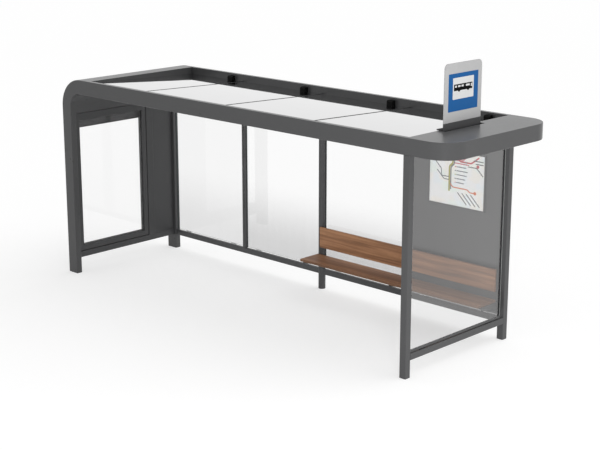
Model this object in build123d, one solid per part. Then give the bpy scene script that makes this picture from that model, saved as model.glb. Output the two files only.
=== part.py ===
from build123d import *
import os

# Bus shelter, millimetres, +Z up, front towards -Y. While it is modelled, X counts from the outer face
# of the left portal, Y from the front faces of the posts and Z from the ground. On export the whole is
# moved so that its origin is the bottom centre of the bounding box.

# Overall sizes
LENGTH = 6060
DEPTH = 1750
HEIGHT = 2500

# Roof rim
FASCIA_HEIGHT = 177
FASCIA_THICK = 53
END_RADIUS = 270
END_OVERHANG = 480
TUBE_WALL = 4
SHEET = 3
EDGE_RADIUS = 7

# Left portal: two flat posts that bend over into the roof rim, and the roof edge between them
PORTAL_WIDTH = 165
POST_DEPTH = 78
BEND_RADIUS = 350
BEND_INNER_RADIUS = 170
PORTAL_REACH = 525
PORTAL_SPRING = 2055
FOOT_PLATE = 6

# Right and rear posts
RIGHT_POST_WIDTH = 82
MIDDLE_POST_DIAMETER = 88
MULLION = 48

# Bottom rails and panes
RAIL_BOTTOM = 186
RAIL_HEIGHT = 70
RAIL_WIDTH = 42
RAIL_RADIUS = 5
PANE_THICK = 10
PANE_EDGE_GAP = 4
CLOSED_PANEL_THICK = 24
PANE_LIFT = 10
PANE_TOP_GAP = 3
SETTING_BLOCK = 90
SETTING_INSET = 160
END_PANE_FRONT_GAP = 8
END_PANE_REAR_GAP = 47

# Roof covering, pitched to the rear
ROOF_DROP_FROM_RIM = 17
ROOF_SLOPE = 0.0408
PANEL_THICK = 16
PANEL_SEAM = 26
RAFTER_WIDTH = 50
RAFTER_WALL = 3
END_PLATE_LAP = 50
END_PLATE_THICK = 5
CLAMP_OFFSETS = (188, 274, 262, 254)
CLAMP_WIDTH = 80
CLAMP_DEPTH = 55
CLAMP_HEIGHT = 56
CLAMP_CHAMFER = 14

# Left wall with the display case
WALL_RECESS = 35
WALL_RAIL_TOP = 262
CASE_END_Y = 1236
STILE_WIDTH = 105
SHADOW_GAP = 12
LEAF_THICK = 24
LEAF_STILE = 64
LEAF_BOTTOM_RAIL = 62
LEAF_TOP_RAIL = 86
LEAF_EDGE_RADIUS = 3
BACK_STILE = 46
BACK_TOP_RAIL = 190
CASE_GLASS = 5
GLAZING_REBATE = 12
PANEL_INSET = 7

# Map on the closed rear bay
MAP_OFFSET = 15
MAP_WIDTH = 784
MAP_HEIGHT = 636
MAP_BOTTOM = 1382
MAP_BORDER = 14
MAP_FRAME_DEPTH = 16
MAP_BOARD_THICK = 6

# Bench
SEAT_TOP = 448
SEAT_THICK = 31
SEAT_DEPTH = 323
SEAT_GAP_TO_POST = 6
SEAT_OVERLAP = 14
BENCH_END_GAP = 20
BACK_SET_IN = 32
BACK_BOTTOM = 541
BACK_HEIGHT = 255
BACK_THICK = 28
PLANK_RADIUS = 5
BRACKET_WEB = 8
BRACKET_FLANGE_WIDTH = 60
BRACKET_FLANGE_THICK = 6
BRACKET_ROOT_DEPTH = 90
BRACKET_TIP_DEPTH = 26
BRACKET_TIP_INSET = 40
BRACKET_UPRIGHT_INSET = 30
BRACKET_PANE_GAP = 3

# Stop sign on the roof end
SIGN_START_Y = 502
SIGN_WIDTH = 604
SIGN_THICK = 12
SIGN_OFFSET = 8
SIGN_TOP = 3170
SIGN_BOTTOM = 2575
SIGN_CORNER = 55
HOLDER_FOOT = 40
HOLDER_FOOT_THICK = 8
STAY_REACH = 88
STAY_HEIGHT = 36
STAY_TIP_HEIGHT = 12
STAY_THICK = 12
STAY_INSET = 12
SLOT_GAP = 25
SLOT_START_GAP = 3
SLOT_END_GAP = 50

# Places that follow from the sizes above
FASCIA_BOTTOM = HEIGHT - FASCIA_HEIGHT
RIGHT_POST_END = LENGTH - END_OVERHANG
RIGHT_POST_X = RIGHT_POST_END - RIGHT_POST_WIDTH
RIGHT_POST_AXIS = RIGHT_POST_END - RIGHT_POST_WIDTH / 2
REAR_POST_Y = DEPTH - POST_DEPTH
REAR_AXIS = DEPTH - MIDDLE_POST_DIAMETER / 2
ROOF_BACK = DEPTH - FASCIA_THICK
WALL_INNER = PORTAL_WIDTH - WALL_RECESS
BAY = (RIGHT_POST_AXIS - WALL_INNER) / 4
BAY_LINES = (WALL_INNER + BAY, WALL_INNER + 2 * BAY, WALL_INNER + 3 * BAY)
MIDDLE_POST_X = BAY_LINES[1]
RAIL_TOP = RAIL_BOTTOM + RAIL_HEIGHT
PANE_BOTTOM = RAIL_TOP + PANE_LIFT
PANE_TOP = FASCIA_BOTTOM - PANE_TOP_GAP
PANE_BACK = REAR_AXIS + RAIL_WIDTH / 2
CLOSED_PANEL_FRONT = PANE_BACK - CLOSED_PANEL_THICK
CLOSED_BAY = (BAY_LINES[2] + MULLION / 2, RIGHT_POST_X)
END_PLATE_X = RIGHT_POST_END - END_PLATE_LAP
SIGN_X = (RIGHT_POST_END + SIGN_OFFSET, RIGHT_POST_END + SIGN_OFFSET + SIGN_THICK)
SIGN_Y = (SIGN_START_Y, SIGN_START_Y + SIGN_WIDTH)

parts = {}


def bar(x, y, z):
    """Solid block between (low, high) pairs along X, Y and Z."""
    centre = [(low + high) / 2 for low, high in (x, y, z)]
    size = [high - low for low, high in (x, y, z)]
    return Pos(*centre) * Box(*size)


def shrink(span, wall):
    """A (low, high) pair pulled in by one wall at both ends."""
    return (span[0] + wall, span[1] - wall)


def section(x, y, z, along, radius):
    """Solid bar whose four long edges, along the named axis, are rounded."""
    axis = {"x": Axis.X, "y": Axis.Y, "z": Axis.Z}[along]
    solid = bar(x, y, z)
    return fillet(solid.edges().filter_by(axis), radius)


def tube(x, y, z, along, wall=SHEET, radius=RAIL_RADIUS):
    """Rectangular hollow section, open at both ends along the named axis."""
    spans = {"x": x, "y": y, "z": z}
    hole = {axis: span if axis == along else shrink(span, wall) for axis, span in spans.items()}
    return section(x, y, z, along, radius) - bar(hole["x"], hole["y"], hole["z"])


def post(x, y, top):
    """Upright hollow section with a welded foot plate."""
    hollow = bar(shrink(x, TUBE_WALL), shrink(y, TUBE_WALL), (FOOT_PLATE, top))
    return section(x, y, (0, top), "z", EDGE_RADIUS) - hollow


def roof_z(y):
    """Height of the upper face of the roof covering at depth y."""
    return HEIGHT - ROOF_DROP_FROM_RIM - ROOF_SLOPE * (y - FASCIA_THICK)


def side_profile(points, x):
    """Prism along X from an outline given as (y, z) points."""
    face = Plane.YZ.offset(x[0]) * Polygon(*points, align=None)
    return extrude(face, x[1] - x[0], dir=(1, 0, 0))


def corner_of(face, x, y):
    """The vertex of a face that lies at (x, y)."""
    return min(face.vertices(), key=lambda vertex: (Vector(vertex) - Vector(x, y)).length)


def portal_section(inset):
    """Outline of the left portal band above the posts, drawn with X across and Y for height."""
    left = inset
    right = PORTAL_REACH - inset
    low = PORTAL_SPRING + inset
    high = HEIGHT - inset
    inner_x = PORTAL_WIDTH - inset
    inner_z = FASCIA_BOTTOM + inset
    outline = Polygon(
        (left, low), (left, high), (right, high), (right, inner_z), (inner_x, inner_z), (inner_x, low),
        align=None,
    )
    outline = fillet(corner_of(outline, left, high), BEND_RADIUS - inset)
    return fillet(corner_of(outline, inner_x, inner_z), BEND_INNER_RADIUS + inset)


def portal_band(y, wall, end_wall):
    """Hollow length of the portal band between two depths."""
    inner_y = shrink(y, end_wall)
    backwards = (0, 1, 0)
    outer = extrude(Plane.XZ.offset(-y[0]) * portal_section(0), y[1] - y[0], dir=backwards)
    inner_face = Plane.XZ.offset(-inner_y[0]) * portal_section(wall)
    return outer - extrude(inner_face, inner_y[1] - inner_y[0], dir=backwards)


def round_outer_face(band, y):
    """Round the edges of a portal corner's outer face, but not where it meets a post or a rim tube."""
    def runs_on(edge):
        middle = edge.center()
        return middle.Z > PORTAL_SPRING + SHEET and middle.X < PORTAL_REACH - SHEET

    outline = band.edges().filter_by_position(Axis.Y, y, y)
    return fillet(outline.filter_by(runs_on), EDGE_RADIUS)


def plan_outline(start, inset):
    """Rounded right-hand end of the roof in plan, from x = start outwards."""
    end = LENGTH - inset
    front = inset
    back = DEPTH - inset
    outline = Polygon((0, front), (end, front), (end, back), (0, back), align=None)
    corners = [corner_of(outline, end, front), corner_of(outline, end, back)]
    kept = Pos(start, 0) * Rectangle(LENGTH, DEPTH, align=(Align.MIN, Align.MIN))
    return fillet(corners, END_RADIUS - inset) & kept


def rim_section(place):
    """Cross-section of the hollow rim tube: local X points inwards and Y up, with rounded outer edges."""
    outline = Rectangle(FASCIA_THICK, FASCIA_HEIGHT)
    outer = [corner_of(outline, -FASCIA_THICK / 2, side * FASCIA_HEIGHT / 2) for side in (-1, 1)]
    bore = Rectangle(FASCIA_THICK - 2 * TUBE_WALL, FASCIA_HEIGHT - 2 * TUBE_WALL)
    return place * (fillet(outer, EDGE_RADIUS) - bore)


def rim_place(x, y, inwards):
    """Plane across the rim at (x, y), with its local X along the inward direction."""
    middle_z = FASCIA_BOTTOM + FASCIA_HEIGHT / 2
    return Plane((x, y, middle_z), x_dir=inwards, z_dir=Vector(*inwards).cross(Vector(0, 0, 1)))


def make_rim():
    """Straight rim tubes along the front and rear, and the one that bends round the right-hand end."""
    bend_x = LENGTH - END_RADIUS
    middle = FASCIA_THICK / 2
    length = bend_x - PORTAL_REACH
    front = rim_section(rim_place(bend_x, middle, (0, 1, 0)))
    rear = rim_section(rim_place(bend_x, DEPTH - middle, (0, -1, 0)))
    parts["front_fascia"] = extrude(front, length, dir=(-1, 0, 0))
    parts["rear_fascia"] = extrude(rear, length, dir=(-1, 0, 0))

    front_bend = revolve(front, Axis((bend_x, END_RADIUS, 0), (0, 0, 1)), 90)
    rear_bend = revolve(rear, Axis((bend_x, DEPTH - END_RADIUS, 0), (0, 0, -1)), 90)
    end = rim_section(rim_place(LENGTH - middle, END_RADIUS, (-1, 0, 0)))
    straight = extrude(end, DEPTH - 2 * END_RADIUS, dir=(0, 1, 0))
    parts["end_fascia"] = front_bend + straight + rear_bend


def make_frame():
    """Posts, portal corners and the roof edge between the corners."""
    left_x = (0, PORTAL_WIDTH)
    right_x = (RIGHT_POST_X, RIGHT_POST_END)
    front_y = (0, POST_DEPTH)
    rear_y = (REAR_POST_Y, DEPTH)
    parts["front_left_post"] = post(left_x, front_y, PORTAL_SPRING)
    parts["rear_left_post"] = post(left_x, rear_y, PORTAL_SPRING)
    parts["front_right_post"] = post(right_x, front_y, FASCIA_BOTTOM)
    parts["rear_right_post"] = post(right_x, rear_y, FASCIA_BOTTOM)

    parts["front_left_corner"] = round_outer_face(portal_band(front_y, TUBE_WALL, TUBE_WALL), 0)
    parts["rear_left_corner"] = round_outer_face(portal_band(rear_y, TUBE_WALL, TUBE_WALL), DEPTH)
    parts["left_roof_edge"] = portal_band((POST_DEPTH, REAR_POST_Y), SHEET, 0)


def make_middle_post():
    """Round rear post that stands on the ground in the middle of the back wall."""
    radius = MIDDLE_POST_DIAMETER / 2
    bottom = Align.MIN
    outer = Cylinder(radius, FASCIA_BOTTOM, align=(Align.CENTER, Align.CENTER, bottom))
    bore = Cylinder(radius - TUBE_WALL, FASCIA_BOTTOM, align=(Align.CENTER, Align.CENTER, bottom))
    parts["rear_middle_post"] = Pos(MIDDLE_POST_X, REAR_AXIS, 0) * (outer - Pos(0, 0, FOOT_PLATE) * bore)


def make_rear_wall():
    """Bottom rails, mullions, three clear panes and the closed bay."""
    rail_y = (REAR_AXIS - RAIL_WIDTH / 2, REAR_AXIS + RAIL_WIDTH / 2)
    rail_z = (RAIL_BOTTOM, RAIL_TOP)
    cutter = Pos(MIDDLE_POST_X, REAR_AXIS, RAIL_BOTTOM) * Cylinder(MIDDLE_POST_DIAMETER / 2, HEIGHT)
    parts["rear_rail_left"] = tube((PORTAL_WIDTH, MIDDLE_POST_X), rail_y, rail_z, "x") - cutter
    parts["rear_rail_right"] = tube((MIDDLE_POST_X, RIGHT_POST_X), rail_y, rail_z, "x") - cutter

    mullion_y = (REAR_AXIS - MULLION / 2, REAR_AXIS + MULLION / 2)
    for name, x in (("rear_mullion_left", BAY_LINES[0]), ("rear_mullion_right", BAY_LINES[2])):
        mullion_x = (x - MULLION / 2, x + MULLION / 2)
        parts[name] = tube(mullion_x, mullion_y, (RAIL_TOP, FASCIA_BOTTOM), "z")

    post_half = MIDDLE_POST_DIAMETER / 2
    bays = {
        "rear_glass_1": (PORTAL_WIDTH, BAY_LINES[0] - MULLION / 2),
        "rear_glass_2": (BAY_LINES[0] + MULLION / 2, MIDDLE_POST_X - post_half),
        "rear_glass_3": (MIDDLE_POST_X + post_half, BAY_LINES[2] - MULLION / 2),
        "rear_panel": CLOSED_BAY,
    }
    corner_clearance = extrude(
        Plane.XZ.offset(-REAR_POST_Y) * portal_section(-PANE_TOP_GAP), POST_DEPTH, dir=(0, 1, 0)
    )
    blocks = []
    for name, bay_x in bays.items():
        thick = CLOSED_PANEL_THICK if name == "rear_panel" else PANE_THICK
        pane_x = shrink(bay_x, PANE_EDGE_GAP)
        pane_y = (PANE_BACK - thick, PANE_BACK)
        parts[name] = bar(pane_x, pane_y, (PANE_BOTTOM, PANE_TOP)) - corner_clearance
        for start in (pane_x[0] + SETTING_INSET, pane_x[1] - SETTING_INSET - SETTING_BLOCK):
            blocks.append(bar((start, start + SETTING_BLOCK), pane_y, (RAIL_TOP, PANE_BOTTOM)))
    parts["rear_setting_blocks"] = Compound(children=blocks)


def make_end_wall():
    """Bottom rail and clear pane between the two right posts."""
    rail_x = (RIGHT_POST_END - RAIL_WIDTH, RIGHT_POST_END)
    rail_middle = sum(rail_x) / 2
    parts["end_rail"] = tube(rail_x, (POST_DEPTH, REAR_POST_Y), (RAIL_BOTTOM, RAIL_TOP), "y")
    pane_x = (rail_middle - PANE_THICK / 2, rail_middle + PANE_THICK / 2)
    pane_y = (POST_DEPTH + END_PANE_FRONT_GAP, REAR_POST_Y - END_PANE_REAR_GAP)
    parts["end_glass"] = bar(pane_x, pane_y, (PANE_BOTTOM, PANE_TOP))
    blocks = []
    for start in (pane_y[0] + SETTING_INSET, pane_y[1] - SETTING_INSET - SETTING_BLOCK):
        blocks.append(bar(pane_x, (start, start + SETTING_BLOCK), (RAIL_TOP, PANE_BOTTOM)))
    parts["end_setting_blocks"] = Compound(children=blocks)


def make_roof():
    """Rafters, pitched panels, retaining clamps and the flat end over the right posts."""
    front = FASCIA_THICK
    back = ROOF_BACK

    def rafter(x):
        under = PANEL_THICK
        outer = [
            (front, FASCIA_BOTTOM), (back, FASCIA_BOTTOM),
            (back, roof_z(back) - under), (front, roof_z(front) - under),
        ]
        low = FASCIA_BOTTOM + RAFTER_WALL
        inner = [
            (front, low), (back, low),
            (back, roof_z(back) - under - RAFTER_WALL), (front, roof_z(front) - under - RAFTER_WALL),
        ]
        return side_profile(outer, x) - side_profile(inner, shrink(x, RAFTER_WALL))

    half = RAFTER_WIDTH / 2
    spans = [(PORTAL_REACH, PORTAL_REACH + RAFTER_WIDTH)]
    spans += [(x - half, x + half) for x in BAY_LINES]
    spans += [(RIGHT_POST_X, RIGHT_POST_END)]
    for number, span in enumerate(spans, 1):
        parts[f"roof_rafter_{number}"] = rafter(span)

    seam = PANEL_SEAM / 2
    starts = [PORTAL_REACH] + [x + seam for x in BAY_LINES]
    ends = [x - seam for x in BAY_LINES] + [END_PLATE_X]
    for number, span in enumerate(zip(starts, ends), 1):
        outline = [
            (front, roof_z(front)), (back, roof_z(back)),
            (back, roof_z(back) - PANEL_THICK), (front, roof_z(front) - PANEL_THICK),
        ]
        parts[f"roof_panel_{number}"] = side_profile(outline, span)

    clamp_front = back - CLAMP_DEPTH
    clamp_top = roof_z(back) + CLAMP_HEIGHT
    outline = [
        (clamp_front, roof_z(clamp_front)), (back, roof_z(back)), (back, clamp_top),
        (clamp_front + CLAMP_CHAMFER, clamp_top), (clamp_front, clamp_top - CLAMP_CHAMFER),
    ]
    half = CLAMP_WIDTH / 2
    lines = (*BAY_LINES, RIGHT_POST_AXIS)
    centres = [line - offset for line, offset in zip(lines, CLAMP_OFFSETS)]
    clamps = [side_profile(outline, (x - half, x + half)) for x in centres]
    parts["roof_clamps"] = Compound(children=clamps)


def make_roof_end():
    """Top plate with its slot for the sign, its riser beside the panels and the soffit."""
    plate_z = HEIGHT - END_PLATE_THICK
    outline = plan_outline(END_PLATE_X, FASCIA_THICK)
    plate = extrude(Pos(0, 0, plate_z) * outline, END_PLATE_THICK)
    under = PANEL_THICK
    riser = [
        (FASCIA_THICK, roof_z(FASCIA_THICK) - under), (ROOF_BACK, roof_z(ROOF_BACK) - under),
        (ROOF_BACK, plate_z), (FASCIA_THICK, plate_z),
    ]
    slot_x = shrink(SIGN_X, -SLOT_GAP)
    slot_y = (SIGN_Y[0] - SLOT_START_GAP, SIGN_Y[1] + SLOT_END_GAP)
    plate = plate + side_profile(riser, (END_PLATE_X, END_PLATE_X + SHEET))
    parts["roof_end_plate"] = plate - bar(slot_x, slot_y, (plate_z, HEIGHT))

    soffit = plan_outline(RIGHT_POST_END, FASCIA_THICK)
    parts["roof_end_soffit"] = extrude(Pos(0, 0, FASCIA_BOTTOM) * soffit, SHEET)


def make_sign():
    """Sign blade with rounded upper corners, and its dark holder.

    The holder is an angle that stands on the header rafter, with two stays on the end plate behind it.
    """
    start_y, end_y = SIGN_Y
    outline = Polygon(
        (start_y, SIGN_BOTTOM), (end_y, SIGN_BOTTOM), (end_y, SIGN_TOP), (start_y, SIGN_TOP), align=None
    )
    corners = [corner_of(outline, start_y, SIGN_TOP), corner_of(outline, end_y, SIGN_TOP)]
    blade = Plane.YZ.offset(SIGN_X[0]) * fillet(corners, SIGN_CORNER)
    parts["sign_blade"] = extrude(blade, SIGN_THICK, dir=(1, 0, 0))

    def beam_top(y):
        return roof_z(y) - PANEL_THICK

    upright = [
        (start_y, beam_top(start_y)), (end_y, beam_top(end_y)), (end_y, SIGN_BOTTOM), (start_y, SIGN_BOTTOM)
    ]
    foot = [
        (start_y, beam_top(start_y)), (end_y, beam_top(end_y)),
        (end_y, beam_top(end_y) + HOLDER_FOOT_THICK), (start_y, beam_top(start_y) + HOLDER_FOOT_THICK),
    ]
    foot_x = (RIGHT_POST_END - HOLDER_FOOT, SIGN_X[0])
    holder = side_profile(upright, SIGN_X) + side_profile(foot, foot_x)
    stay = Plane.XZ * Polygon(
        (SIGN_X[0], HEIGHT), (SIGN_X[0], HEIGHT + STAY_HEIGHT),
        (SIGN_X[0] - STAY_REACH, HEIGHT + STAY_TIP_HEIGHT), (SIGN_X[0] - STAY_REACH, HEIGHT),
        align=None,
    )
    for y in (start_y + STAY_INSET, end_y - STAY_INSET - STAY_THICK):
        holder += Pos(0, y, 0) * extrude(stay, STAY_THICK, dir=(0, 1, 0))
    parts["sign_holder"] = holder


def picture_frame(x, y, z, border_y, border_bottom, border_top):
    """Flat frame in a plane of constant X."""
    opening = bar(x, shrink(y, border_y), (z[0] + border_bottom, z[1] - border_top))
    return bar(x, y, z) - opening


def make_left_wall():
    """Bottom rail, display case with its leaf, fixed stile and closed panel."""
    wall_x = (WALL_RECESS, WALL_INNER)
    y = (POST_DEPTH, REAR_POST_Y)
    stile_y = (CASE_END_Y, CASE_END_Y + STILE_WIDTH)
    opening_z = (WALL_RAIL_TOP, PORTAL_SPRING)
    parts["wall_bottom_rail"] = tube(wall_x, y, (RAIL_BOTTOM, WALL_RAIL_TOP), "y")
    parts["wall_stile"] = tube(wall_x, stile_y, opening_z, "z")
    panel_x = shrink(wall_x, PANEL_INSET)
    panel_y = (stile_y[1], REAR_POST_Y)
    parts["wall_panel"] = tube(panel_x, panel_y, opening_z, "z")

    case_y = (POST_DEPTH, CASE_END_Y)
    body_x = shrink(wall_x, LEAF_THICK)
    leaf_y = shrink(case_y, SHADOW_GAP)
    leaf_z = shrink(opening_z, SHADOW_GAP)
    parts["case_body"] = picture_frame(
        body_x, case_y, opening_z,
        SHADOW_GAP + LEAF_STILE, SHADOW_GAP + LEAF_BOTTOM_RAIL, SHADOW_GAP + LEAF_TOP_RAIL,
    )
    sides = [
        ("case_leaf", "case_leaf_glass", (body_x[1], wall_x[1]), LEAF_STILE, LEAF_TOP_RAIL, 1),
        ("case_back_frame", "case_back_glass", (wall_x[0], body_x[0]), BACK_STILE, BACK_TOP_RAIL, -1),
    ]
    for frame_name, glass_name, leaf_x, stile, top_rail, outward in sides:
        frame = picture_frame(leaf_x, leaf_y, leaf_z, stile, LEAF_BOTTOM_RAIL, top_rail)
        shown = wall_x[1] if outward > 0 else wall_x[0]
        frame = fillet(frame.edges().filter_by_position(Axis.X, shown - 1, shown + 1), LEAF_EDGE_RADIUS)
        seat = leaf_x[0] if outward > 0 else leaf_x[1]
        pane_x = tuple(sorted((seat, seat + outward * CASE_GLASS)))
        pane_y = shrink(leaf_y, stile - GLAZING_REBATE)
        pane_z = (leaf_z[0] + LEAF_BOTTOM_RAIL - GLAZING_REBATE, leaf_z[1] - top_rail + GLAZING_REBATE)
        pane = bar(pane_x, pane_y, pane_z)
        parts[frame_name] = frame - pane
        parts[glass_name] = pane


def make_map():
    """Framed map board on the inner face of the closed rear bay."""
    face = CLOSED_PANEL_FRONT
    centre = sum(CLOSED_BAY) / 2 + MAP_OFFSET
    x = (centre - MAP_WIDTH / 2, centre + MAP_WIDTH / 2)
    z = (MAP_BOTTOM, MAP_BOTTOM + MAP_HEIGHT)
    y = (face - MAP_FRAME_DEPTH, face)
    opening = bar(shrink(x, MAP_BORDER), y, shrink(z, MAP_BORDER))
    parts["map_frame"] = bar(x, y, z) - opening
    parts["map_board"] = bar(shrink(x, MAP_BORDER), (face - MAP_BOARD_THICK, face), shrink(z, MAP_BORDER))


def make_bench():
    """Plank seat and back on three brackets."""
    post_front = REAR_AXIS - MIDDLE_POST_DIAMETER / 2
    plank_back = post_front - SEAT_GAP_TO_POST
    bench_end = RIGHT_POST_X - BENCH_END_GAP
    seat_y = (plank_back - SEAT_DEPTH, plank_back)
    seat_z = (SEAT_TOP - SEAT_THICK, SEAT_TOP)
    seat_x = (MIDDLE_POST_X - SEAT_OVERLAP, bench_end)
    parts["bench_seat"] = section(seat_x, seat_y, seat_z, "x", PLANK_RADIUS)
    back_y = (plank_back - BACK_THICK, plank_back)
    back_z = (BACK_BOTTOM, BACK_BOTTOM + BACK_HEIGHT)
    back_x = (MIDDLE_POST_X + BACK_SET_IN, bench_end)
    parts["bench_back"] = section(back_x, back_y, back_z, "x", PLANK_RADIUS)

    arm_top = seat_z[0]
    web_top = arm_top - BRACKET_FLANGE_THICK
    upright_top = back_z[1] - BRACKET_UPRIGHT_INSET
    half = BRACKET_WEB / 2
    right_end = RIGHT_POST_X
    carriers = [
        (MIDDLE_POST_X, MIDDLE_POST_X - half, post_front),
        (BAY_LINES[2], BAY_LINES[2] - half, REAR_AXIS - MULLION / 2),
        (right_end - BRACKET_FLANGE_WIDTH / 2, right_end - BRACKET_WEB, CLOSED_PANEL_FRONT - BRACKET_PANE_GAP),
    ]
    for number, (flange_centre, web_start, seat_on) in enumerate(carriers, 1):
        outline = [
            (seat_y[0] + BRACKET_TIP_INSET, web_top),
            (seat_y[0] + BRACKET_TIP_INSET, web_top - BRACKET_TIP_DEPTH),
            (plank_back, web_top - BRACKET_ROOT_DEPTH),
            (seat_on, web_top - BRACKET_ROOT_DEPTH),
            (seat_on, upright_top),
            (plank_back, upright_top),
            (plank_back, web_top),
        ]
        web = side_profile(outline, (web_start, web_start + BRACKET_WEB))
        flange_x = (flange_centre - BRACKET_FLANGE_WIDTH / 2, flange_centre + BRACKET_FLANGE_WIDTH / 2)
        flange_y = (seat_y[0] + BRACKET_TIP_INSET, seat_y[1])
        parts[f"bench_bracket_{number}"] = web + bar(flange_x, flange_y, (web_top, arm_top))


make_frame()
make_rim()
make_middle_post()
make_rear_wall()
make_end_wall()
make_roof()
make_roof_end()
make_sign()
make_left_wall()
make_map()
make_bench()

os.makedirs("parts", exist_ok=True)
to_origin = Pos(-LENGTH / 2, -DEPTH / 2, 0)
for name, shape in parts.items():
    export_step(to_origin * shape, f"parts/{name}.step")
print(len(parts), "nodes")
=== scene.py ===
"""Looks of a bus shelter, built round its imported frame.

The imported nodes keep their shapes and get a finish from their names. The pieces made here are
what those nodes leave out: seals, fixings, sign films and the printed route diagram.
"""

import logging
import math
from collections.abc import Callable, Sequence
from dataclasses import dataclass, field
from enum import Enum
from typing import Protocol

import bmesh
import bpy
import numpy as np
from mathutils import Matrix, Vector


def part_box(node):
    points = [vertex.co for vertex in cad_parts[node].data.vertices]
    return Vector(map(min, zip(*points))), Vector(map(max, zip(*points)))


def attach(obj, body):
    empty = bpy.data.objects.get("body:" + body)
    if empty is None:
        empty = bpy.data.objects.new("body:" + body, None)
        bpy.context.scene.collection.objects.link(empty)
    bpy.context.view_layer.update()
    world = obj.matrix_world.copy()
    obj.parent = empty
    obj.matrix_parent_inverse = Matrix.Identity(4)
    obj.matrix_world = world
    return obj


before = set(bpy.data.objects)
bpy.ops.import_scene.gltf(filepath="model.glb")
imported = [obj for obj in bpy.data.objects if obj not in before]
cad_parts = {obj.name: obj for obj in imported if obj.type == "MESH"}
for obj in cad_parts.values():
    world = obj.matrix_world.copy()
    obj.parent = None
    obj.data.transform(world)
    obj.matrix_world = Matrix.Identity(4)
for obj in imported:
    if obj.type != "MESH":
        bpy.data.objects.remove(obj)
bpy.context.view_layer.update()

log = logging.getLogger("shelter")

Colour = tuple[float, float, float]
Span = tuple[float, float]
Point2 = tuple[float, float]
Point3 = tuple[float, float, float]
Placer = Callable[[np.ndarray, np.ndarray], np.ndarray]

# Sizes are in metres. X runs along the shelter, Y towards its back and Z up.
MERGE_DISTANCE = 1e-6
SHARP_DEGREES = 40
NOISE_MEAN = 0.5
EVEN: Point3 = (1.0, 1.0, 1.0)
SOOT: Colour = (0.0, 0.0, 0.0)
FULL_LIGHT = (1.0, 1.0, 1.0, 1.0)

# The Mix node's colour sockets by number, because the same names stand for its other types too.
MIX_FIRST, MIX_SECOND, MIX_RESULT = 6, 7, 2


# ---------------------------------------------------------------- shader maths


class Signal:
    """A value on its way through a material; arithmetic on it adds Math nodes."""

    def __init__(self, graph: "Graph", socket: bpy.types.NodeSocket) -> None:
        """Keep the socket and the graph it belongs to."""
        self.graph = graph
        self.socket = socket

    def _math(self, operation: str, *terms: "Signal | float") -> "Signal":
        """One Math node on the given terms."""
        sockets = dict(enumerate(terms))
        return self.graph.out("ShaderNodeMath", {"operation": operation}, sockets)

    def __add__(self, other: "Signal | float") -> "Signal":
        """Sum."""
        return self._math("ADD", self, other)

    def __sub__(self, other: "Signal | float") -> "Signal":
        """Difference."""
        return self._math("SUBTRACT", self, other)

    def __rsub__(self, other: "Signal | float") -> "Signal":
        """Difference, with this value taken away from a number."""
        return self._math("SUBTRACT", other, self)

    def __mul__(self, other: "Signal | float") -> "Signal":
        """Product."""
        return self._math("MULTIPLY", self, other)

    def __abs__(self) -> "Signal":
        """Size without sign."""
        return self._math("ABSOLUTE", self)

    __radd__ = __add__
    __rmul__ = __mul__

    def rise(self, low: float, high: float) -> "Signal":
        """A soft step: 0 below low, 1 above high, smooth between.

        Args:
            low: value at which the step starts.
            high: value at which it has finished.

        Returns:
            The step, from 0 to 1.
        """
        settings = {"interpolation_type": "SMOOTHSTEP"}
        sockets = {"Value": self, "From Min": low, "From Max": high}
        return self.graph.out("ShaderNodeMapRange", settings, sockets)


@dataclass(frozen=True)
class Grain:
    """Sizes of a noise: features in a metre, number and strength of finer levels, stretch by axis."""

    scale: float
    detail: float = 2.0
    rough: float = 0.5
    stretch: Point3 = EVEN


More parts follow.
